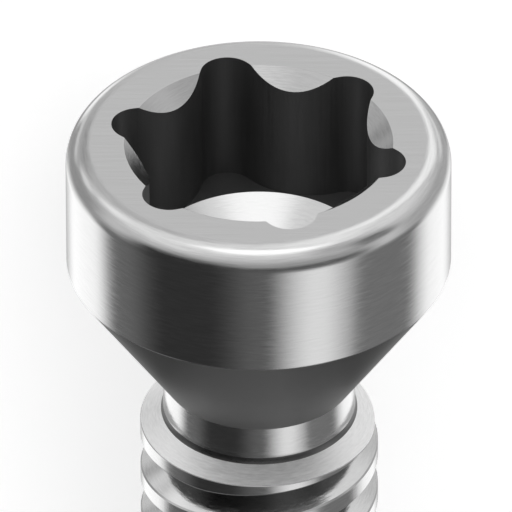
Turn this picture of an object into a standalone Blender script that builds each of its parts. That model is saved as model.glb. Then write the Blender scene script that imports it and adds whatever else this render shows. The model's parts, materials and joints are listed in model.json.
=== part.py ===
"""Dental abutment screw, turned from one bar of titanium alloy.

The screw lies on a flat surface as it comes to rest: the lower edge of the
head and the last thread crest touch it, so the axis slopes down to the tip.
The head points to +X, the tip to -X, and Z is up. Units are metres.

The solid is first made upright in the screw's own frame, where the flat top
of the head is at z = 0 and the tip is below it, and is then laid down.
"""

import math

import bmesh
import bpy
from mathutils import Matrix, Vector

MM = 0.001

# Head
HEAD_RADIUS = 1.286 * MM
HEAD_EDGE_RADIUS = 0.168 * MM          # rounding between the top face and the side
HEAD_HEIGHT = 0.932 * MM               # top face to the sharp edge above the seat

# Conical seat, neck and the chamfer that starts the thread
SEAT_HEIGHT = 0.965 * MM
NECK_RADIUS = 0.645 * MM
NECK_LENGTH = 0.210 * MM               # straight part of the neck
NECK_FILLET_RADIUS = 0.163 * MM
NECK_FILLET_ANGLE = math.radians(25)
THREAD_CHAMFER_ANGLE = math.radians(30)

# Thread, right hand
THREAD_RADIUS = 0.800 * MM
THREAD_PITCH = 0.360 * MM
THREAD_LENGTH = 4.743 * MM             # chamfer edge to the tip
THREAD_CREST_SHARE = 0.35              # share of the pitch that stays as a flat crest
THREAD_FLANK_ANGLE = math.radians(30)  # each flank, from a plane square to the axis
THREAD_DEPTH = 0.153 * MM
THREAD_START_DEPTH = 0.114 * MM        # middle of the groove at the start angle, below the chamfer edge
THREAD_START_ANGLE = math.radians(230) # about the screw's axis
THREAD_LIP = 0.028 * MM                # how much wider the crest stays where the thread starts
THREAD_LIP_END = 0.012 * MM            # and how much at the run-out
THREAD_LIP_TURNS = [math.radians(turn) for turn in (120, 155, 225, 280)]  # grows, is full, narrows, is at its end
THREAD_RUN_OUT_FROM = math.radians(280)
THREAD_RUN_OUT_TO = math.radians(410)  # the groove has faded out here
TIP_CHAMFER = 0.180 * MM

# Six-lobe socket
SOCKET_LOBES = 6
SOCKET_TIP_RADIUS = 1.011 * MM         # centre to the far wall of a lobe
SOCKET_WAIST_RADIUS = 0.767 * MM       # centre to the top of a bump between lobes
SOCKET_LOBE_ARC = 0.180 * MM           # radius of the wall round a lobe's end
SOCKET_DEPTH = 0.949 * MM              # top face to the flat floor of the lobes
SOCKET_TURN = math.radians(14.5)       # turn of one lobe about the screw's axis
COUNTERSINK_RADIUS = 0.896 * MM
COUNTERSINK_ANGLE = math.radians(50)   # half angle
PILOT_LEDGE = 0.005 * MM               # floor left between a bump and the drilled hole's rim
PILOT_POINT_ANGLE = math.radians(59)   # half angle of the drill point

# Fineness of the facets
TURN_STEPS = 48
ARC_STEPS = 6
LOBE_STEPS = 6
CUT_MARGIN = 0.050 * MM                # cutters reach this far past the surface they cut

TITANIUM_COLOUR = (0.50, 0.50, 0.49, 1.0)


def remove_everything():
    """Empties the scene."""
    for old in list(bpy.data.objects):
        bpy.data.objects.remove(old, do_unlink=True)


def arc(centre, radius, start, end, steps):
    """Points on an arc in the (radius, z) plane, both ends included."""
    points = []
    for i in range(steps + 1):
        angle = start + (end - start) * i / steps
        points.append((centre[0] + radius * math.cos(angle), centre[1] + radius * math.sin(angle)))
    return points


def chamfer_depth():
    """Depth of the edge where the thread's chamfer reaches the full radius."""
    fillet_drop = NECK_FILLET_RADIUS * math.sin(NECK_FILLET_ANGLE)
    fillet_rise = NECK_FILLET_RADIUS * (1 - math.cos(NECK_FILLET_ANGLE))
    chamfer_width = THREAD_RADIUS - NECK_RADIUS - fillet_rise
    chamfer_drop = chamfer_width * math.tan(THREAD_CHAMFER_ANGLE)
    return HEAD_HEIGHT + SEAT_HEIGHT + NECK_LENGTH + fillet_drop + chamfer_drop


def screw_length():
    """Length from the top face to the tip."""
    return chamfer_depth() + THREAD_LENGTH


def turned_profile():
    """Half section of the turned blank, from the top's centre down to the tip's centre."""
    edge_centre = (HEAD_RADIUS - HEAD_EDGE_RADIUS, -HEAD_EDGE_RADIUS)
    seat_end = -HEAD_HEIGHT - SEAT_HEIGHT
    fillet_centre = (NECK_RADIUS + NECK_FILLET_RADIUS, seat_end - NECK_LENGTH)
    fillet_end = math.pi + NECK_FILLET_ANGLE
    tip = -screw_length()
    profile = [(0.0, 0.0)]
    profile += arc(edge_centre, HEAD_EDGE_RADIUS, math.pi / 2, 0.0, ARC_STEPS)
    profile.append((HEAD_RADIUS, -HEAD_HEIGHT))
    profile.append((NECK_RADIUS, seat_end))
    profile += arc(fillet_centre, NECK_FILLET_RADIUS, math.pi, fillet_end, ARC_STEPS // 2)
    profile.append((THREAD_RADIUS, -chamfer_depth()))
    profile.append((THREAD_RADIUS, tip + TIP_CHAMFER))
    profile.append((THREAD_RADIUS - TIP_CHAMFER, tip))
    profile.append((0.0, tip))
    return profile


def revolve(bm, profile):
    """Turns a half section that starts and ends on the axis into a closed solid.

    The corners lie half a step off the X axis, so a flat facet faces down when the screw lies.
    """
    rings = []
    for radius, z in profile:
        if radius == 0.0:
            rings.append([bm.verts.new((0.0, 0.0, z))])
            continue
        ring = []
        for i in range(TURN_STEPS):
            angle = 2 * math.pi * (i + 0.5) / TURN_STEPS
            ring.append(bm.verts.new((radius * math.cos(angle), radius * math.sin(angle), z)))
        rings.append(ring)
    for upper, lower in zip(rings, rings[1:]):
        for i in range(TURN_STEPS):
            j = (i + 1) % TURN_STEPS
            if len(upper) == 1:
                bm.faces.new((upper[0], lower[i], lower[j]))
            elif len(lower) == 1:
                bm.faces.new((upper[j], upper[i], lower[0]))
            else:
                bm.faces.new((upper[j], upper[i], lower[i], lower[j]))


def finish_mesh(bm, name):
    """Makes an object from a closed bmesh, with its faces pointing out."""
    bmesh.ops.recalc_face_normals(bm, faces=bm.faces)
    mesh = bpy.data.meshes.new(name)
    bm.to_mesh(mesh)
    bm.free()
    piece = bpy.data.objects.new(name, mesh)
    bpy.context.collection.objects.link(piece)
    return piece


def make_blank():
    """The turned blank: head, seat, neck and a plain shank at the thread's radius."""
    bm = bmesh.new()
    revolve(bm, turned_profile())
    return finish_mesh(bm, "abutment_screw")


def as_cutter(piece):
    """Marks a piece that only cuts."""
    piece.hide_render = True
    piece.display_type = 'WIRE'
    return piece


def groove_height(angle):
    """Height of the groove's middle where it passes an angle about the axis; it rises with the angle."""
    start = -chamfer_depth() - THREAD_START_DEPTH
    return start + THREAD_PITCH * (angle - THREAD_START_ANGLE) / (2 * math.pi)


def groove_half_width():
    """Half the groove's width, measured along the axis at the crest."""
    return THREAD_PITCH * (1 - THREAD_CREST_SHARE) / 2


def smooth_share(angle, start, end):
    """0 before the start angle and 1 past the end, with a smooth rise between."""
    share = min(1.0, max(0.0, (angle - start) / (end - start)))
    return share * share * (3 - 2 * share)


def run_out(angle):
    """How far the tool has drawn back from the full groove."""
    return (THREAD_DEPTH + CUT_MARGIN / 2) * smooth_share(angle, THREAD_RUN_OUT_FROM, THREAD_RUN_OUT_TO)


def lip(angle):
    """How far the groove's upper side stays back where the thread starts, so that the crest is wider."""
    first, full, narrows, last = THREAD_LIP_TURNS
    narrowing = (THREAD_LIP - THREAD_LIP_END) * smooth_share(angle, narrows, last)
    return THREAD_LIP * smooth_share(angle, first, full) - narrowing


def groove_corners(angle):
    """The four corners of the groove's section at an angle, as (radius, height)."""
    slope = math.tan(THREAD_FLANK_ANGLE)
    root = THREAD_RADIUS - THREAD_DEPTH + run_out(angle)
    outside = THREAD_RADIUS + CUT_MARGIN
    half_at_root = groove_half_width() - THREAD_DEPTH * slope
    half_outside = half_at_root + (outside - root) * slope
    middle = groove_height(angle)
    upper = middle - lip(angle)
    return [(root, upper + half_at_root), (outside, upper + half_outside),
            (outside, middle - half_outside), (root, middle - half_at_root)]


def make_groove_cutter():
    """A bar with the groove's section, swept down the right-hand helix and out through the tip."""
    bm = bmesh.new()
    step = 2 * math.pi / TURN_STEPS
    first = math.ceil(THREAD_RUN_OUT_TO / step)
    turns_below = (groove_height(0.0) + screw_length()) / THREAD_PITCH + 1
    last = -math.ceil(turns_below * TURN_STEPS)
    sections = []
    for i in range(first, last, -1):
        angle = (i + 0.5) * step
        corners = []
        for radius, z in groove_corners(angle):
            corners.append(bm.verts.new((radius * math.cos(angle), radius * math.sin(angle), z)))
        sections.append(corners)
    for above, below in zip(sections, sections[1:]):
        for i in range(4):
            j = (i + 1) % 4
            bm.faces.new((above[i], above[j], below[j], below[i]))
    bm.faces.new(sections[0])
    bm.faces.new(sections[-1])
    return as_cutter(finish_mesh(bm, "groove_cutter"))


def lobe_outline():
    """Outline of the six-lobe socket: a round end in each lobe and a bump between, all tangent."""
    step = 2 * math.pi / SOCKET_LOBES
    tip_centre = SOCKET_TIP_RADIUS - SOCKET_LOBE_ARC
    half = math.cos(step / 2)
    # The bump's arc touches both lobe arcs, which gives its radius
    gap = tip_centre ** 2 + SOCKET_WAIST_RADIUS ** 2 - 2 * tip_centre * SOCKET_WAIST_RADIUS * half
    bump_arc = (gap - SOCKET_LOBE_ARC ** 2) / (2 * (SOCKET_LOBE_ARC - SOCKET_WAIST_RADIUS + tip_centre * half))
    bump_centre = SOCKET_WAIST_RADIUS + bump_arc
    points = []
    centre = (tip_centre, 0.0)
    bump = (bump_centre * half, bump_centre * math.sin(step / 2))
    spread = math.atan2(bump[1] - centre[1], bump[0] - centre[0])
    one_lobe = arc(centre, SOCKET_LOBE_ARC, -spread, spread, LOBE_STEPS)
    one_lobe += arc(bump, bump_arc, math.pi + spread, math.pi + step - spread, LOBE_STEPS)[1:-1]
    for lobe in range(SOCKET_LOBES):
        turn = Matrix.Rotation(SOCKET_TURN + lobe * step, 2)
        points += [turn @ Vector(point) for point in one_lobe]
    return points


def make_lobe_cutter():
    """The prism of the six-lobe socket, from above the head down to the lobes' floor."""
    bm = bmesh.new()
    outline = lobe_outline()
    lower = [bm.verts.new((p.x, p.y, -SOCKET_DEPTH)) for p in outline]
    upper = [bm.verts.new((p.x, p.y, CUT_MARGIN)) for p in outline]
    count = len(outline)
    bm.faces.new(lower)
    bm.faces.new(upper)
    for i in range(count):
        j = (i + 1) % count
        bm.faces.new((lower[i], lower[j], upper[j], upper[i]))
    return as_cutter(finish_mesh(bm, "lobe_cutter"))


def make_countersink_cutter():
    """The cone that leads a driver into the socket."""
    slope = math.tan(COUNTERSINK_ANGLE)
    bm = bmesh.new()
    reach = COUNTERSINK_RADIUS + CUT_MARGIN * slope
    revolve(bm, [(0.0, CUT_MARGIN), (reach, CUT_MARGIN), (0.0, -COUNTERSINK_RADIUS / slope)])
    return as_cutter(finish_mesh(bm, "countersink_cutter"))


def make_pilot_cutter():
    """The point of the drilled hole, below the lobes' floor."""
    radius = SOCKET_WAIST_RADIUS - PILOT_LEDGE
    above = CUT_MARGIN - SOCKET_DEPTH
    point = -SOCKET_DEPTH - radius / math.tan(PILOT_POINT_ANGLE)
    bm = bmesh.new()
    revolve(bm, [(0.0, above), (radius, above), (radius, -SOCKET_DEPTH), (0.0, point)])
    return as_cutter(finish_mesh(bm, "pilot_cutter"))


def cut(piece, cutter):
    """Adds a Boolean difference."""
    modifier = piece.modifiers.new(cutter.name, 'BOOLEAN')
    modifier.operation = 'DIFFERENCE'
    modifier.solver = 'EXACT'
    modifier.object = cutter


def last_crest_height():
    """Height of the last thread crest's low corner, on the facet that the screw lies on."""
    tip_edge = -screw_length() + TIP_CHAMFER
    middle = groove_height(-math.pi / TURN_STEPS)
    middle -= THREAD_PITCH * round((middle - tip_edge) / THREAD_PITCH)
    if abs(tip_edge - middle) < groove_half_width():
        return middle + groove_half_width()
    return tip_edge


def resting_matrix():
    """Lays the upright screw down on its head's lower edge and its last thread crest, centred."""
    flat = math.cos(math.pi / TURN_STEPS)
    rise = flat * (HEAD_RADIUS - THREAD_RADIUS)
    slope = math.atan2(rise, -HEAD_HEIGHT - last_crest_height())
    lift = HEAD_RADIUS * flat * math.cos(slope) + HEAD_HEIGHT * math.sin(slope)
    ends = []
    for radius, z in turned_profile():
        for side in (-1, 1):
            ends.append(z * math.cos(slope) + side * flat * radius * math.sin(slope))
    centre = (min(ends) + max(ends)) / 2
    return Matrix.Translation((-centre, 0.0, lift)) @ Matrix.Rotation(math.pi / 2 - slope, 4, 'Y')


def titanium():
    """Polished titanium alloy."""
    material = bpy.data.materials.new("polished_titanium")
    material.use_nodes = True
    shader = material.node_tree.nodes["Principled BSDF"]
    shader.inputs["Base Color"].default_value = TITANIUM_COLOUR
    shader.inputs["Metallic"].default_value = 1.0
    shader.inputs["Roughness"].default_value = 0.25
    return material


def main():
    remove_everything()
    screw = make_blank()
    cutters = [make_groove_cutter(), make_countersink_cutter(), make_lobe_cutter(), make_pilot_cutter()]
    for cutter in cutters:
        cut(screw, cutter)
    for piece in [screw] + cutters:
        piece.matrix_world = resting_matrix()
    screw.data.materials.append(titanium())


main()
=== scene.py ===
"""The finished look of a turned dental abutment screw, with its floor, light and camera."""

import json
import math
from collections import namedtuple
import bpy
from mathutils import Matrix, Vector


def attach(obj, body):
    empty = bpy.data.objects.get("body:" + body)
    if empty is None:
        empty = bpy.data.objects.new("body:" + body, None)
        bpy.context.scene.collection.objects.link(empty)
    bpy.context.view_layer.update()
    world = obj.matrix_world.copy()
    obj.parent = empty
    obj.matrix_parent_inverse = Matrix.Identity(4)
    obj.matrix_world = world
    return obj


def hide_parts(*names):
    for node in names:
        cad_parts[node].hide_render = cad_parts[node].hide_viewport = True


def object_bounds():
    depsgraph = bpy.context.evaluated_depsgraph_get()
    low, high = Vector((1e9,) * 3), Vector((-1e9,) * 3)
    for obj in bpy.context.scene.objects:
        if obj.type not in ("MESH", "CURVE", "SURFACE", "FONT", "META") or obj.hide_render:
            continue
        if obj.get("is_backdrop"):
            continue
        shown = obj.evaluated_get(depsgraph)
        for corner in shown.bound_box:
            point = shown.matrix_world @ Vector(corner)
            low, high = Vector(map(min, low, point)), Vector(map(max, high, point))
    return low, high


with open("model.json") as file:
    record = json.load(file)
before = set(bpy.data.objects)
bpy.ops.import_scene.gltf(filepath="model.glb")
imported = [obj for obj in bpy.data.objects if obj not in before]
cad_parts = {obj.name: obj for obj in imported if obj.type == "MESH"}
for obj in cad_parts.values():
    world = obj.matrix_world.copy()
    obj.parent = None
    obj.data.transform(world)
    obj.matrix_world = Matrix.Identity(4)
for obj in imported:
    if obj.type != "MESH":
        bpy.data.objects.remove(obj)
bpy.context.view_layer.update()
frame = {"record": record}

from types import SimpleNamespace

import bpy
from bpy.props import FloatProperty, IntProperty, PointerProperty, StringProperty
from mathutils import Matrix, Vector

bl_info = {
    "name": "Abutment screw",
    "version": (1, 0, 0),
    "blender": (4, 5, 0),
    "location": "View3D > Sidebar > Abutment screw",
    "description": "Models a turned dental abutment screw with its finish and sets up its studio",
    "category": "Object",
}

MM = 0.001
PIECE = "abutment_screw"

# The screw lies with its head towards +X, and its axis slopes down to the tip. It is modelled
# upright in its own frame, in millimetres, with Z along the axis from the middle of the top face,
# and then laid down, with its own -X facing up
MOUNTS = {mount["name"]: mount for mount in frame["record"]["mounts"]}
AXIS = Vector(MOUNTS["head_face"]["axis"]).normalized()
TIP_CENTRE = Vector(MOUNTS["tip_face"]["pos_m"])
RIGHT = Vector((0.0, -1.0, 0.0))        # the photograph's right
FRONT = RIGHT.cross(AXIS).normalized()  # square to the axis, on the photograph's side
LAY_DOWN = Vector((0, 0, 1)).rotation_difference(AXIS).to_matrix()

AROUND = 256            # facets round the turned form
THREAD_AROUND = 160     # facets in one turn of the thread
ROUND_STEPS = 16        # facets across a rounded edge
LOBE_STEPS = 20         # facets along one arc of the socket
MERGE = 0.00001         # two heights closer than this, in millimetres, are the same
LOBE_MERGE = 0.001      # points of the socket's outline closer than this are one
SMOOTH_BELOW = 12       # degrees between two faces that are shaded as one surface


def length(name, millimetres, description):
    """A length property, given in millimetres and kept in metres."""
    return FloatProperty(name=name, default=millimetres * MM, description=description,
                         min=0.0, precision=6, unit='LENGTH')


def angle(name, degrees, description):
    """An angle property, given in degrees."""
    return FloatProperty(name=name, default=math.radians(degrees), description=description,
                         subtype='ANGLE', unit='ROTATION')


def colour(name, code, description):
    """A colour as an sRGB hex code."""
    return StringProperty(name=name, default=code, description=description)


class AbutmentScrewSizes(bpy.types.PropertyGroup):
    """The turned form, the thread and the socket."""

    head_radius: length("Head radius", 1.286, "Outside of the cylindrical head")
    head_edge: length("Head edge", 0.168, "Radius of the rounding round the top face")
    head_height: length("Head height", 0.932, "Top face to the sharp edge above the seat")
    seat_height: length("Seat height", 0.965, "Length of the conical seat along the axis")
    neck_radius: length("Neck radius", 0.645, "Outside of the neck")
    neck_length: length("Neck length", 0.210, "Straight part of the neck")
    neck_fillet: length("Neck fillet", 0.163, "Radius of the hollow at the foot of the neck")
    fillet_angle: angle("Fillet angle", 25, "How far the hollow turns out")
    chamfer_angle: angle("Thread chamfer", 30, "Slope of the ring that starts the thread")
    thread_radius: length("Thread radius", 0.800, "Outside of the thread")
    thread_pitch: length("Pitch", 0.360, "Distance from one turn to the next")
    thread_length: length("Thread length", 4.743, "Chamfer edge to the tip")
    crest_width: length("Crest width", 0.126, "Flat of the crest, with its broken edges")
    crest_edge: length("Crest edge", 0.008, "Broken edge of the crest, across")
    flank_angle: angle("Flank angle", 30, "Slope of each side of the groove")
    thread_depth: length("Thread depth", 0.153, "Crest to root")
    start_depth: length("Thread start", 0.114, "Chamfer edge to the groove at the start angle")
    start_angle: angle("Thread start angle", 230, "Where the thread start is measured")
    lip: length("Thread lip", 0.028, "How much wider the crest stays where the thread starts")
    lip_end: length("Thread lip at the end", 0.012, "How much wider where the groove fades out")
    lip_from: angle("Lip from", 120, "Where the crest starts to widen")
    lip_full: angle("Lip full", 155, "Where the lip is widest")
    lip_narrows: angle("Lip narrows", 225, "Where it starts to narrow")
    run_out_from: angle("Run-out from", 280, "Where the groove starts to fade out")
    run_out_to: angle("Run-out to", 410, "Where the groove has faded out")
    tip_chamfer: length("Tip chamfer", 0.180, "Chamfer at the tip")
    edge_break: length("Edge break", 0.004, "Flat left on turned edges")
    lobe_reach: length("Lobe reach", 1.011, "Axis to the far wall of a lobe")
    waist: length("Waist", 0.767, "Axis to the top of a bump between two lobes")
    lobe_arc: length("Lobe arc", 0.180, "Radius of a lobe's end")
    socket_depth: length("Socket depth", 0.949, "Top face to the lobes' floor")
    socket_turn: angle("Socket turn", 14.5, "Turn of one lobe about the axis")
    lobes: IntProperty(name="Lobes", default=6, min=3, description="Lobes in the socket")
    countersink: length("Countersink", 0.896, "Radius of the countersink at the top face")
    countersink_angle: angle("Countersink angle", 50, "Half angle of the countersink")
    pilot_ledge: length("Pilot ledge", 0.005, "Floor left between a bump and the drilled hole")
    pilot_angle: angle("Drill point", 59, "Half angle of the drill's point")


class AbutmentScrewFinish(bpy.types.PropertyGroup):
    """The metal's colours, its marks and the floor's colour."""

    metal: colour("Metal", "#C6C6C6", "Turned and polished titanium alloy")
    # The ring's paler colour is painted light, not a colour of the alloy
    ring: colour("Ring", "#ECECEC", "Bright turned ring above the thread")
    # The thread root's darker colour is painted shade, not a colour of the alloy
    root: colour("Thread root", "#6A6A6A", "Darker metal down in the thread's groove")
    # The seat's darker colour is painted shade, not a colour of the alloy
    seat: colour("Seat", "#808080", "Finely ground seat under the head")
    countersink: colour("Countersink", "#AFAFAF", "Countersink that leads into the socket")
    drilled: colour("Drilled bottom", "#BEBEBE", "Cone left by the drill in the socket")
    # The socket's darker colour is painted shade, not a colour of the alloy
    socket: colour("Socket", "#6C6C6C", "Broached walls of the socket")
    floor: colour("Floor", "#FFFFFF", "White floor")
    # Real marks are a few thousandths of a millimetre apart, too fine to show, so these are coarser
    mark_width: length("Mark width", 0.012, "Distance from one tool mark to the next")
    mark_depth: length("Mark depth", 0.0004, "Depth of a tool mark")


def screw_sizes():
    """The sizes as plain numbers: lengths in millimetres, angles in radians."""
    settings = bpy.context.scene.abutment_screw_sizes
    values = {}
    for prop in settings.bl_rna.properties:
        if prop.type in {'FLOAT', 'INT'}:
            value = getattr(settings, prop.identifier)
            values[prop.identifier] = value / MM if prop.unit == 'LENGTH' else value
    return SimpleNamespace(**values)


def deselect_all():
    """Leaves object mode with nothing selected."""
    if bpy.context.object and bpy.context.object.mode != 'OBJECT':
        bpy.ops.object.mode_set(mode='OBJECT')
    bpy.ops.object.select_all(action='DESELECT')


def make_active(piece):
    """Selects one object alone."""
    deselect_all()
    piece.select_set(True)
    bpy.context.view_layer.objects.active = piece


def arc(centre, radius, start, end, steps):
    """Points on an arc as (radius, z), both ends included."""
    points = []
    for i in range(steps + 1):
        turn = start + (end - start) * i / steps
        points.append((centre[0] + radius * math.cos(turn), centre[1] + radius * math.sin(turn)))
    return points


def broken_corner(before, corner, after, size):
    """Two points in place of a sharp corner, each a little way along its side."""
    points = []
    for other in (before, after):
        side = Vector(other) - Vector(corner)
        points.append(tuple(Vector(corner) + side.normalized() * size))
    return points


def turned_body(name, profile):
    """Extrudes a round disc ring by ring down a profile of (radius, z) points."""
    deselect_all()
    radius, z = profile[0]
    bpy.ops.mesh.primitive_circle_add(vertices=AROUND, radius=radius, fill_type='NGON',
                                      location=(0, 0, z))
    body = bpy.context.object
    body.name = name
    bpy.ops.object.transform_apply(location=True, rotation=True, scale=True)
    bpy.ops.object.mode_set(mode='EDIT')
    bpy.ops.mesh.select_all(action='SELECT')
    for next_radius, next_z in profile[1:]:
        bpy.ops.mesh.extrude_region_move(TRANSFORM_OT_translate={"value": (0, 0, next_z - z)})
        ratio = next_radius / radius
        bpy.ops.transform.resize(value=(ratio, ratio, 1), center_override=(0, 0, 0))
        radius, z = next_radius, next_z
    bpy.ops.mesh.select_all(action='SELECT')
    bpy.ops.mesh.normals_make_consistent(inside=False)
    bpy.ops.object.mode_set(mode='OBJECT')
    return body


def chamfer_depth(s):
    """Depth of the edge where the thread's chamfer reaches the full radius."""
    drop = s.neck_fillet * math.sin(s.fillet_angle)
    rise = s.neck_fillet * (1 - math.cos(s.fillet_angle))
    width = s.thread_radius - s.neck_radius - rise
    neck_end = s.head_height + s.seat_height + s.neck_length
    return neck_end + drop + width * math.tan(s.chamfer_angle)


def blank_profile(s):
    """Outline of the turned blank from the top face to the tip."""
    flat = s.head_radius - s.head_edge
    seat_end = -s.head_height - s.seat_height
    chamfer = -chamfer_depth(s)
    tip = chamfer - s.thread_length
    rounding = arc((flat, -s.head_edge), s.head_edge, math.pi / 2, 0.0, ROUND_STEPS)
    hollow_centre = (s.neck_radius + s.neck_fillet, seat_end - s.neck_length)
    hollow = arc(hollow_centre, s.neck_fillet, math.pi, math.pi + s.fillet_angle, ROUND_STEPS // 2)
    shoulder = (s.head_radius, -s.head_height)
    neck_top = (s.neck_radius, seat_end)
    thread_edge = (s.thread_radius, chamfer)
    shank_end = (s.thread_radius, tip + s.tip_chamfer)
    tip_edge = (s.thread_radius - s.tip_chamfer, tip)
    profile = [(flat - s.edge_break, 0.0)]
    profile += rounding
    profile += broken_corner(rounding[-1], shoulder, neck_top, s.edge_break)
    profile.append(neck_top)
    profile += hollow
    profile += broken_corner(hollow[-1], thread_edge, shank_end, s.edge_break)
    profile += broken_corner(thread_edge, shank_end, tip_edge, s.edge_break)
    profile += broken_corner(shank_end, tip_edge, (0.0, tip), s.edge_break)
    return profile


BAR_STANDS_OUT = 1 / 3  # of the groove's depth, past the crest, so that the cut is clean
BAR_DRAWS_BACK = 1.2    # groove depths, to where the tool has left the metal


def groove_corners(s):
    """Section of the groove as (radius, height), from the upper root round to the lower one."""
    slope = math.tan(s.flank_angle)
    crest = s.thread_radius
    outside = crest + s.thread_depth * BAR_STANDS_OUT
    half_at_crest = (s.thread_pitch - s.crest_width) / 2
    root = crest - s.thread_depth
    half_at_root = half_at_crest - s.thread_depth * slope
    edge = crest - s.crest_edge
    half_at_edge = half_at_crest - s.crest_edge * slope
    half_outside = half_at_crest + s.crest_edge
    upper = [(root, half_at_root), (edge, half_at_edge),
             (crest, half_outside), (outside, half_outside)]
    return upper + [(radius, -height) for radius, height in reversed(upper)]


def smooth_share(turn, start, end):
    """0 before the start angle and 1 past the end, with a smooth rise between."""
    share = min(1.0, max(0.0, (turn - start) / (end - start)))
    return share * share * (3 - 2 * share)


def draw_back(s, turn):
    """How far the tool has drawn back from the full groove."""
    return s.thread_depth * BAR_DRAWS_BACK * smooth_share(turn, s.run_out_from, s.run_out_to)


def lip_width(s, turn):
    """How far the groove's upper side stays back at its start, so that the crest is wider."""
    narrowing = (s.lip - s.lip_end) * smooth_share(turn, s.lip_narrows, s.run_out_from)
    return s.lip * smooth_share(turn, s.lip_from, s.lip_full) - narrowing


def groove_cutter(s):
    """A bar of the groove's section, wound up the right-hand helix from below the tip."""
    corners = groove_corners(s)
    turns = (s.thread_length - s.start_depth) / s.thread_pitch + 1  # the last one is past the tip
    first_turn = s.start_angle - math.tau * turns
    first_height = -chamfer_depth(s) - s.start_depth - s.thread_pitch * turns
    sweep = s.run_out_to - first_turn
    deselect_all()
    bpy.ops.mesh.primitive_circle_add(vertices=len(corners), radius=1, fill_type='NOTHING')
    cutter = bpy.context.object
    cutter.name = "groove_cutter"
    for vertex, (radius, height) in zip(cutter.data.vertices, corners):
        place = Vector((radius, 0.0, first_height + height))
        vertex.co = Matrix.Rotation(first_turn, 3, 'Z') @ place
    winding = cutter.modifiers.new("winding", 'SCREW')
    winding.axis = 'Z'
    winding.angle = sweep
    winding.screw_offset = s.thread_pitch * sweep / math.tau
    winding.steps = winding.render_steps = round(THREAD_AROUND * sweep / math.tau)
    winding.use_merge_vertices = False
    winding.use_smooth_shade = False
    bpy.ops.object.modifier_apply(modifier=winding.name)
    steps = len(cutter.data.vertices) // len(corners)
    for index, vertex in enumerate(cutter.data.vertices):
        turn = first_turn + sweep * (index // len(corners)) / (steps - 1)
        away = Vector((vertex.co.x, vertex.co.y, 0.0)).normalized()
        vertex.co += away * draw_back(s, turn)
        if index % len(corners) < len(corners) / 2:
            vertex.co.z -= lip_width(s, turn)
    close_ends(cutter)
    return cutter


def close_ends(piece):
    """Fills the open loops of a tube and turns its faces outwards."""
    make_active(piece)
    bpy.ops.object.mode_set(mode='EDIT')
    bpy.ops.mesh.select_mode(type='VERT')
    bpy.ops.mesh.select_all(action='DESELECT')
    bpy.ops.mesh.select_non_manifold()
    bpy.ops.mesh.edge_face_add()
    bpy.ops.mesh.select_all(action='SELECT')
    bpy.ops.mesh.normals_make_consistent(inside=False)
    bpy.ops.object.mode_set(mode='OBJECT')


def lobe_cutter(s):
    """A prism with the socket's outline, drawn lobe by lobe by spinning one point."""
    step = math.tau / s.lobes
    half = step / 2
    lobe_centre = s.lobe_reach - s.lobe_arc
    # A bump's arc touches the arcs of the lobes beside it, which gives its radius
    across = lobe_centre ** 2 + s.waist ** 2 - 2 * lobe_centre * s.waist * math.cos(half)
    room = s.lobe_arc - s.waist + lobe_centre * math.cos(half)
    bump_arc = (across - s.lobe_arc ** 2) / (2 * room)
    bump_reach = s.waist + bump_arc
    bump_x = bump_reach * math.cos(half) - lobe_centre
    bump_y = bump_reach * math.sin(half)
    spread = math.atan2(bump_y, bump_x)
    deselect_all()
    bpy.ops.mesh.primitive_circle_add(vertices=3, radius=s.lobe_arc, fill_type='NOTHING')
    cutter = bpy.context.object
    cutter.name = "lobe_cutter"
    first = Matrix.Rotation(-spread, 3, 'Z') @ Vector((s.lobe_arc, 0, 0))
    first.x += lobe_centre
    for vertex in cutter.data.vertices:
        vertex.co = Matrix.Rotation(s.socket_turn, 3, 'Z') @ first
    bpy.ops.object.mode_set(mode='EDIT')
    bpy.ops.mesh.select_all(action='SELECT')
    bpy.ops.mesh.merge(type='CENTER')
    for lobe in range(s.lobes):
        facing = Matrix.Rotation(s.socket_turn + lobe * step, 3, 'Z')
        between = Matrix.Rotation(s.socket_turn + lobe * step + half, 3, 'Z')
        bpy.ops.mesh.spin(steps=LOBE_STEPS, angle=-2 * spread, axis=(0, 0, 1),
                          center=facing @ Vector((lobe_centre, 0, 0)))
        bpy.ops.mesh.spin(steps=LOBE_STEPS, angle=2 * spread - step, axis=(0, 0, 1),
                          center=between @ Vector((bump_reach, 0, 0)))
    bpy.ops.mesh.select_all(action='SELECT')
    bpy.ops.mesh.remove_doubles(threshold=LOBE_MERGE)
    bpy.ops.mesh.select_all(action='SELECT')
    bpy.ops.mesh.edge_face_add()
    above = s.head_edge
    bpy.ops.transform.translate(value=(0, 0, above))
    down = (0, 0, -above - s.socket_depth)
    bpy.ops.mesh.extrude_region_move(TRANSFORM_OT_translate={"value": down})
    bpy.ops.mesh.select_all(action='SELECT')
    bpy.ops.mesh.normals_make_consistent(inside=False)
    bpy.ops.object.mode_set(mode='OBJECT')
    return cutter


SINK_EDGE = 1 / 3       # of the other edges' break, because this edge is left sharper
SINK_FOOT = 0.05        # the cone's small end over its large one, inside the socket's hollow
DRILL_FOOT = 0.002      # the same for the drill's point, which looks sharp


def countersink_cutter(s):
    """The cone that leads a driver into the socket, with its edge broken."""
    rim = (s.countersink, 0.0)
    radius = SINK_FOOT * s.countersink
    foot = (radius, -(s.countersink - radius) / math.tan(s.countersink_angle))
    edge = broken_corner((s.head_radius, 0.0), rim, foot, s.edge_break * SINK_EDGE)
    return turned_body("countersink_cutter", [(edge[0][0], s.head_edge)] + edge + [foot])


def pilot_cutter(s):
    """The point of the drilled hole, below the lobes' floor."""
    floor = -s.socket_depth
    radius = s.waist - s.pilot_ledge
    point = DRILL_FOOT * radius
    point_depth = floor - (radius - point) / math.tan(s.pilot_angle)
    profile = [(radius, floor + s.head_edge), (radius, floor), (point, point_depth)]
    return turned_body("pilot_cutter", profile)


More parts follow.
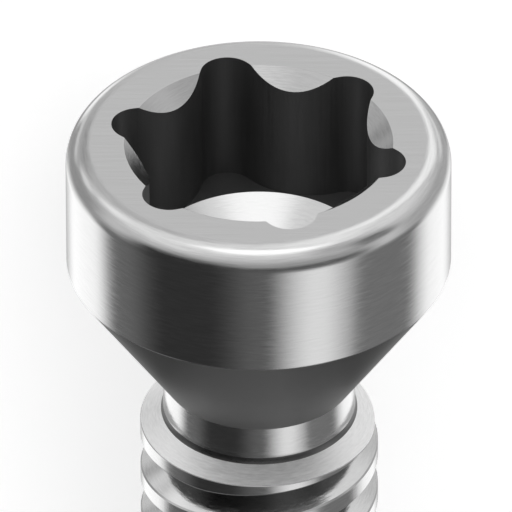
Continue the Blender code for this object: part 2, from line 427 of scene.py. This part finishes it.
def cut_away(piece, cutter):
    """Cuts one solid out of another and removes the cutter."""
    make_active(piece)
    cut = piece.modifiers.new("cut", 'BOOLEAN')
    cut.operation = 'DIFFERENCE'
    cut.solver = 'EXACT'
    cut.object = cutter
    bpy.ops.object.modifier_apply(modifier=cut.name)
    bpy.data.objects.remove(cutter, do_unlink=True)


def top_centre(s):
    """Middle of the flat top face, in metres, one length along the axis from the tip."""
    return TIP_CENTRE + AXIS * (chamfer_depth(s) + s.thread_length) * MM


def lay_down(piece, s):
    """Lays the upright solid down at its resting place and applies that to the mesh."""
    make_active(piece)
    place = Matrix.Translation(top_centre(s))
    piece.matrix_world = place @ LAY_DOWN.to_4x4() @ Matrix.Scale(MM, 4)
    bpy.ops.object.transform_apply(location=True, rotation=True, scale=True)


def linear(code):
    """An sRGB hex code as linear values with full alpha."""
    channels = []
    for i in (1, 3, 5):
        value = int(code[i:i + 2], 16) / 255
        channels.append(value / 12.92 if value <= 0.04045 else ((value + 0.055) / 1.055) ** 2.4)
    return (*channels, 1.0)


def add_node(tree, kind, inputs=None, **settings):
    """Adds a node; its inputs, by name or number, each take a socket's link or a value."""
    node = tree.nodes.new(kind)
    for name, value in settings.items():
        setattr(node, name, value)
    for name, value in (inputs or {}).items():
        if isinstance(value, bpy.types.NodeSocket):
            tree.links.new(value, node.inputs[name])
        else:
            node.inputs[name].default_value = value
    return node


def new_material(name):
    """A node material with only its output and a Principled shader."""
    material = bpy.data.materials.new(name)
    material.use_nodes = True
    return material, material.node_tree, material.node_tree.nodes["Principled BSDF"]


def screw_frame(tree, s):
    """The point in the screw's own frame, in millimetres."""
    place = add_node(tree, "ShaderNodeTexCoord").outputs["Object"]
    mapping = add_node(tree, "ShaderNodeMapping", vector_type='TEXTURE', inputs={
        "Vector": place, "Location": top_centre(s), "Rotation": LAY_DOWN.to_euler(),
        "Scale": (MM, MM, MM)})
    return mapping.outputs["Vector"]


MARKS_ROUND = 10.0      # how often a mark changes on its way round, in one radian
MARKS_ALONG = 1.5       # how often a straight mark changes along its way, in one millimetre
MARK_NOISE = {"Scale": 1.0, "Detail": 2.0, "Roughness": 0.6}
NOISE_LOW, NOISE_HIGH = 0.3, 0.7    # the noise seldom leaves this range


def turning_marks(tree, s, width):
    """Marks that run round the axis, as a tool leaves them on any part of a turned profile."""
    point = screw_frame(tree, s)
    flat = add_node(tree, "ShaderNodeVectorMath", {0: point, 1: (1, 1, 0)},
                    operation='MULTIPLY').outputs["Vector"]
    height = add_node(tree, "ShaderNodeSeparateXYZ", {"Vector": point}).outputs["Z"]
    radius = add_node(tree, "ShaderNodeVectorMath", {0: flat}, operation='LENGTH').outputs["Value"]
    facing = add_node(tree, "ShaderNodeVectorMath", {0: flat}, operation='NORMALIZE')
    about = add_node(tree, "ShaderNodeVectorMath",
                     {0: facing.outputs["Vector"], "Scale": MARKS_ROUND}, operation='SCALE')
    up = add_node(tree, "ShaderNodeMath", {0: height, 1: width}, operation='DIVIDE')
    out = add_node(tree, "ShaderNodeMath", {0: radius, 1: width}, operation='DIVIDE')
    lifted = add_node(tree, "ShaderNodeCombineXYZ", {"Z": up.outputs["Value"]})
    vector = add_node(tree, "ShaderNodeVectorMath",
                      {0: about.outputs["Vector"], 1: lifted.outputs["Vector"]}, operation='ADD')
    noise = add_node(tree, "ShaderNodeTexNoise", noise_dimensions='4D', inputs={
        "Vector": vector.outputs["Vector"], "W": out.outputs["Value"], **MARK_NOISE})
    return noise.outputs["Fac"]


def straight_marks(tree, s, rates):
    """Straight marks that change at one rate a millimetre along each of the frame's axes."""
    vector = add_node(tree, "ShaderNodeVectorMath", {0: screw_frame(tree, s), 1: rates},
                      operation='MULTIPLY')
    noise = add_node(tree, "ShaderNodeTexNoise", {"Vector": vector.outputs["Vector"], **MARK_NOISE})
    return noise.outputs["Fac"]


def facing_marks(tree, s, width):
    """Straight marks across the top face."""
    return straight_marks(tree, s, (1 / width, MARKS_ALONG, MARKS_ALONG))


def broaching_marks(tree, s, width):
    """Straight marks down the walls of the socket."""
    return straight_marks(tree, s, (1 / width, 1 / width, MARKS_ALONG))


# The material's name, the setting that holds its colour, how its marks run, its roughness and how
# far the marks change it, their depth in mark depths, and how far they change the colour's shade
Finish = namedtuple("Finish", "material colour marks roughness roughness_change depth shade_change")
FINISHES = {
    # Titanium alloy, turned and polished: a mirror that draws the lights out into long streaks
    "polished": Finish("polished_titanium", "metal", turning_marks, 0.16, 0.05, 1, 0.05),
    # Titanium alloy, faced flat: one even grey with hair lines across it
    "faced": Finish("faced_titanium", "metal", facing_marks, 0.17, 0.04, 1 / 4, 0.03),
    # Titanium alloy, finely ground so that it seats well: dull and without streaks; its dark colour
    # is painted shade under the head
    "seat": Finish("ground_titanium_painted_shade", "seat", turning_marks, 0.4, 0.02, 1 / 3, 0.02),
    # Titanium alloy, drilled: a bright cone with faint rings
    "drilled": Finish("drilled_titanium", "drilled", turning_marks, 0.18, 0.05, 1, 0.05),
    # Titanium alloy, countersunk: a little darker, with rings that show
    "countersunk": Finish("countersunk_titanium", "countersink", turning_marks,
                          0.22, 0.04, 1, 0.06),
    # Titanium alloy as the turning tool leaves it, with fine lines and soft highlights; its paler
    # colour is painted light
    "ring": Finish("turned_titanium_painted_light", "ring", turning_marks, 0.45, 0.05, 2, 0.08),
    # Titanium alloy down in a cut thread: its darker colour is painted shade in the groove, under
    # the crests and in the neck's hollow
    "root": Finish("thread_groove_painted_shade", "root", turning_marks, 0.3, 0.05, 1, 0.05),
    # Titanium alloy, broached: dull, with straight marks down the walls; its dark colour is painted
    # shade in the socket
    "socket": Finish("broached_titanium_painted_shade", "socket", broaching_marks, 0.58, 0.05, 1, 0.08),
}


def marked_metal(finish, s):
    """A metal whose marks change its height, roughness and shade a little."""
    settings = bpy.context.scene.abutment_screw_finish
    material, tree, shader = new_material(finish.material)
    marks = finish.marks(tree, s, settings.mark_width / MM)
    from_marks = {"Value": marks, "From Min": NOISE_LOW, "From Max": NOISE_HIGH}
    tint = add_node(tree, "ShaderNodeMapRange", {
        **from_marks, "To Min": 1 - finish.shade_change, "To Max": 1 + finish.shade_change})
    shaded = add_node(tree, "ShaderNodeVectorMath", operation='SCALE', inputs={
        0: linear(getattr(settings, finish.colour))[:3], "Scale": tint.outputs["Result"]})
    gloss = add_node(tree, "ShaderNodeMapRange", {
        **from_marks, "To Min": finish.roughness - finish.roughness_change,
        "To Max": finish.roughness + finish.roughness_change})
    bump = add_node(tree, "ShaderNodeBump", {
        "Height": marks, "Strength": 1.0, "Distance": settings.mark_depth * finish.depth})
    tree.links.new(shaded.outputs["Vector"], shader.inputs["Base Color"])
    tree.links.new(gloss.outputs["Result"], shader.inputs["Roughness"])
    tree.links.new(bump.outputs["Normal"], shader.inputs["Normal"])
    shader.inputs["Metallic"].default_value = 1.0
    return material


# How far up or down a face looks, as the height of its unit normal
UPRIGHT = 0.1           # walls look no further up or down than this
HOLLOW_DARK = 0.16      # the dark end of the neck's hollow looks further up
RING_UP = 0.8           # the chamfered ring looks further up
FLANK_DOWN = -0.3       # the flanks under a crest look further down
TIP_DOWN = -0.5         # the tip's chamfer and its end look further down


def finish_of(face, s):
    """Which finish a face has, from its place and the way it looks, in the screw's own frame."""
    radius = math.hypot(face.center.x, face.center.y)
    depth = -face.center.z
    upwards = face.normal.z
    seat_end = s.head_height + s.seat_height
    neck_end = seat_end + s.neck_length
    hollow_end = neck_end + s.neck_fillet * math.sin(s.fillet_angle)
    ring_end = chamfer_depth(s) - s.edge_break
    thread_end = chamfer_depth(s) + s.thread_length - s.tip_chamfer
    in_groove = radius < s.thread_radius - s.crest_edge
    if depth < MERGE:
        return "faced"
    if radius < s.lobe_reach and depth < s.socket_depth + MERGE:
        wall = abs(upwards) < UPRIGHT or depth > s.socket_depth - MERGE
        return "socket" if wall else "countersunk"
    if depth < seat_end and upwards > UPRIGHT and radius < s.waist:
        return "drilled"
    if depth < s.head_height or seat_end < depth < neck_end:
        return "polished"
    if depth < seat_end:
        return "seat"
    if depth < hollow_end:
        # The hollow's upper end takes the root's darker colour: painted shade in the crease
        return "root" if upwards > HOLLOW_DARK else "polished"
    # The ring that looks up, and the tip's chamfer and end, take the ring's paler colour: painted
    # light
    if depth < ring_end and upwards > RING_UP or depth > thread_end and upwards < TIP_DOWN:
        return "ring"
    # Faces in the groove that don't look up, and any face that looks well down, take the root's
    # darker colour: painted shade under the crests
    return "root" if in_groove and upwards < UPRIGHT or upwards < FLANK_DOWN else "polished"


class AbutmentScrewBuild(bpy.types.Operator):
    """Models the screw in place of its plain solid"""

    bl_idname = "abutment_screw.build"
    bl_label = "Build the screw"

    def execute(self, context):
        s = screw_sizes()
        screw = turned_body(PIECE + "_turned", blank_profile(s))
        for make_cutter in (groove_cutter, countersink_cutter, lobe_cutter, pilot_cutter):
            cut_away(screw, make_cutter(s))
        for finish in FINISHES.values():
            screw.data.materials.append(marked_metal(finish, s))
        names = list(FINISHES)
        for face in screw.data.polygons:
            face.material_index = names.index(finish_of(face, s))
        lay_down(screw, s)
        make_active(screw)
        bpy.ops.object.shade_smooth_by_angle(angle=math.radians(SMOOTH_BELOW))
        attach(screw, "root")
        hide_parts(PIECE)
        return {'FINISHED'}


class AbutmentScrewStage(bpy.types.Operator):
    """Sets up the floor, the light and the camera"""

    bl_idname = "abutment_screw.stage"
    bl_label = "Build the studio"

    def execute(self, context):
        place_camera()
        make_floor()
        make_world()
        context.scene.view_settings.view_transform = 'Standard'
        return {'FINISHED'}


# The camera stands well off, so the view has hardly any perspective
FRAME_PIXELS = 512
PIXELS_PER_MM = 150.2
LENS = 1400
SENSOR = 36
OFF_AXIS = math.radians(54.1)     # between the camera's line of sight and the screw's axis
ROLL = math.radians(-0.165)
TOP_CENTRE_PIXEL = Vector((258.25, 142.3))
FRAME_CENTRE_PIXEL = Vector((255.5, 255.5))


def place_camera():
    """Looks down on the head along the photograph's line of sight."""
    tilt = OFF_AXIS + math.atan2(AXIS.z, AXIS.x)
    back = Vector((math.cos(tilt), 0.0, math.sin(tilt)))
    up = back.cross(RIGHT)
    shift = (TOP_CENTRE_PIXEL - FRAME_CENTRE_PIXEL) / PIXELS_PER_MM * MM
    aim = top_centre(screw_sizes()) - RIGHT * shift.x + up * shift.y
    distance = FRAME_PIXELS / PIXELS_PER_MM * MM * LENS / SENSOR
    turn = Matrix((RIGHT, up, back)).transposed().to_4x4() @ Matrix.Rotation(ROLL, 4, 'Z')
    deselect_all()
    bpy.ops.object.camera_add(location=aim + back * distance)
    camera = bpy.context.object
    camera.matrix_world = Matrix.Translation(aim + back * distance) @ turn
    camera.data.lens = LENS
    camera.data.sensor_width = SENSOR
    # Room enough for views from other sides, nearer or further off
    camera.data.clip_start = distance / 10
    camera.data.clip_end = distance * 20
    bpy.context.scene.camera = camera


FLOOR_RADIUS = 0.3      # metres
FLOOR_SIDES = 96
FLOOR_GLOW = 0.6        # light of its own, which keeps the shadow faint


def make_floor():
    """A pale floor under the screw's lowest point, which the metal doesn't reflect."""
    deselect_all()
    bpy.ops.mesh.primitive_circle_add(vertices=FLOOR_SIDES, radius=FLOOR_RADIUS, fill_type='NGON',
                                      location=(0, 0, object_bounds()[0].z))
    floor = bpy.context.object
    floor.name = "floor"
    bpy.ops.object.transform_apply(location=True, rotation=True, scale=True)
    # Painted white board: plain and soft, nearly as bright as the background
    material, tree, shader = new_material("white_floor")
    white = linear(bpy.context.scene.abutment_screw_finish.floor)
    shader.inputs["Base Color"].default_value = white
    shader.inputs["Emission Color"].default_value = (1, 1, 1, 1)
    shader.inputs["Emission Strength"].default_value = FLOOR_GLOW
    floor.data.materials.append(material)
    floor.visible_glossy = False
    floor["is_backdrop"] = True


# Soft boxes and dark cards round the screw, later ones in front of earlier ones. The first three
# numbers say where one hangs round the axis in degrees (0 at the front, 90 at the photograph's
# right), half its width and how soft its edge is. The next three say the same for its lift over
# the screw's middle towards the head, and the last is its brightness
STUDIO = (
    ("box over the front", 0, 90, 25, 90, 28, 10, 1.9),
    ("box over the back", 180, 95, 20, 90, 28, 10, 1.15),
    ("box over the right", 128, 42, 15, 68, 9, 8, 1.35),
    ("grey over the back left", -155, 14, 5, 50, 15, 7, 0.74),
    ("wall at the left", -85, 42, 12, 52, 14, 10, 1.18),
    ("bright patch at the left", -116, 10, 8, 43, 6, 6, 1.4),
    ("wall at the right", 118, 24, 10, 50, 13, 8, 1.1),
    ("strip box over the back right", 158, 13, 6, 42, 19, 5, 1.45),
    ("grey straight behind, low", 180, 26, 8, 1, 8, 8, 0.7),
    ("grey behind the left", -134, 32, 10, 2, 22, 12, 0.46),
    ("grey over the left", -157, 14, 6, 31, 6, 5, 0.5),
    ("bright line over the left", -131, 8, 5, 27, 5, 4, 1.15),
    ("bright line behind the left", -150, 12, 6, 12, 5, 4, 0.95),
    ("grey behind the right", 125, 38, 10, 2, 18, 10, 0.6),
    ("bright line behind the right", 152, 12, 6, 13, 5, 4, 1.1),
    ("wall over the front", 5, 60, 12, 5, 22, 14, 0.5),
    ("grey at the front", 10, 46, 10, -34, 32, 14, 0.3),
    ("wall at the front", 0, 60, 20, 55, 9, 8, 1.05),
    ("grey over the front right", 57, 20, 8, 45, 14, 8, 0.66),
    ("card over the right", 73, 13, 8, 29, 13, 7, 0.26),
    ("dim front", -8, 20, 8, -42, 40, 16, 0.16),
    ("dark line over the front", -3, 63, 12, -5, 8, 6, 0.13),
    ("grey beside the dark card", -80, 24, 12, -40, 34, 20, 0.2),
    ("dark card at the left", -44, 29, 14, -40, 54, 14, 0.045),
    ("grey card at the right", 80, 26, 8, -50, 34, 10, 0.25),
    ("strip box at the front right", 35, 17, 15, -50, 28, 8, 1.22),
    ("strip box behind the left", -130, 23, 10, -46, 22, 16, 1.6),
    ("strip box behind the right", 134, 19, 10, -44, 22, 14, 1.5),
    ("grey straight behind", 180, 14, 10, -36, 16, 8, 0.5),
    ("bright edge behind the left", -163, 6, 4, -2, 9, 4, 1.5),
    ("bright edge behind the right", 170, 6, 4, 12, 14, 5, 1.6),
    ("grey edge behind the left", -159, 11, 5, -19, 5, 4, 0.4),
    ("grey edge behind the right", 161, 11, 5, -16, 5, 4, 0.38),
    ("dark under the head", 180, 82, 12, -75, 27, 5, 0.12),
    ("dark beyond the tip", 0, 200, 10, -90, 22, 6, 0.12),
)
WALLS = 0.85            # brightness where nothing hangs
BACKGROUND = 1.0        # white, for the camera alone


def within(tree, value, middle, half, soft, wraps=False):
    """1 where an angle lies within a range, with a soft edge."""
    away = add_node(tree, "ShaderNodeMath", {0: value, 1: math.radians(middle)},
                    operation='SUBTRACT').outputs["Value"]
    if wraps:
        away = add_node(tree, "ShaderNodeMath", {0: away, 1: math.pi, 2: -math.pi},
                        operation='WRAP').outputs["Value"]
    size = add_node(tree, "ShaderNodeMath", {0: away}, operation='ABSOLUTE').outputs["Value"]
    share = add_node(tree, "ShaderNodeMapRange", interpolation_type='SMOOTHSTEP', inputs={
        "Value": size, "From Min": math.radians(half + soft), "From Max": math.radians(half - soft),
        "To Min": 0.0, "To Max": 1.0})
    return share.outputs["Result"]


def make_world():
    """A pale studio, hung with soft boxes and dark cards, which the camera sees as plain white."""
    world = bpy.data.worlds.new("studio")
    bpy.context.scene.world = world
    world.use_nodes = True
    tree = world.node_tree
    direction = add_node(tree, "ShaderNodeTexCoord").outputs["Generated"]
    right, front, along = [
        add_node(tree, "ShaderNodeVectorMath", {0: direction, 1: side},
                 operation='DOT_PRODUCT').outputs["Value"]
        for side in (RIGHT, FRONT, AXIS)]
    turn = add_node(tree, "ShaderNodeMath", {0: right, 1: front},
                    operation='ARCTAN2').outputs["Value"]
    lift = add_node(tree, "ShaderNodeMath", {0: along}, operation='ARCSINE').outputs["Value"]
    light = add_node(tree, "ShaderNodeValue").outputs["Value"]
    light.default_value = WALLS
    for name, middle, half, soft, height, half_height, soft_height, brightness in STUDIO:
        round_part = within(tree, turn, middle, half, soft, wraps=True)
        high_part = within(tree, lift, height, half_height, soft_height)
        both = add_node(tree, "ShaderNodeMath", {0: round_part, 1: high_part},
                        operation='MULTIPLY').outputs["Value"]
        light = add_node(tree, "ShaderNodeMix", {"Factor": both, "A": light, "B": brightness},
                         label=name).outputs["Result"]
    seen = add_node(tree, "ShaderNodeLightPath").outputs["Is Camera Ray"]
    shown = add_node(tree, "ShaderNodeMix", {"Factor": seen, "A": light, "B": BACKGROUND})
    tree.links.new(shown.outputs["Result"], tree.nodes["Background"].inputs["Color"])


class AbutmentScrewPanel(bpy.types.Panel):
    """Lists the operators and their settings"""

    bl_idname = "VIEW3D_PT_abutment_screw"
    bl_label = "Abutment screw"
    bl_space_type = 'VIEW_3D'
    bl_region_type = 'UI'
    bl_category = "Abutment screw"

    def draw(self, context):
        layout = self.layout
        layout.operator(AbutmentScrewBuild.bl_idname)
        layout.operator(AbutmentScrewStage.bl_idname)
        for settings in (context.scene.abutment_screw_sizes, context.scene.abutment_screw_finish):
            box = layout.box()
            for prop in settings.bl_rna.properties:
                if prop.identifier not in {"rna_type", "name"}:
                    box.prop(settings, prop.identifier)


CLASSES = (AbutmentScrewSizes, AbutmentScrewFinish, AbutmentScrewBuild, AbutmentScrewStage,
           AbutmentScrewPanel)


def register():
    """Registers the classes and gives the scene its settings."""
    for cls in CLASSES:
        bpy.utils.register_class(cls)
    bpy.types.Scene.abutment_screw_sizes = PointerProperty(type=AbutmentScrewSizes)
    bpy.types.Scene.abutment_screw_finish = PointerProperty(type=AbutmentScrewFinish)


def unregister():
    """Takes away what register added."""
    del bpy.types.Scene.abutment_screw_finish
    del bpy.types.Scene.abutment_screw_sizes
    for cls in reversed(CLASSES):
        bpy.utils.unregister_class(cls)


def main():
    register()
    bpy.ops.abutment_screw.build()
    bpy.ops.abutment_screw.stage()


if __name__ == "__main__":
    main()
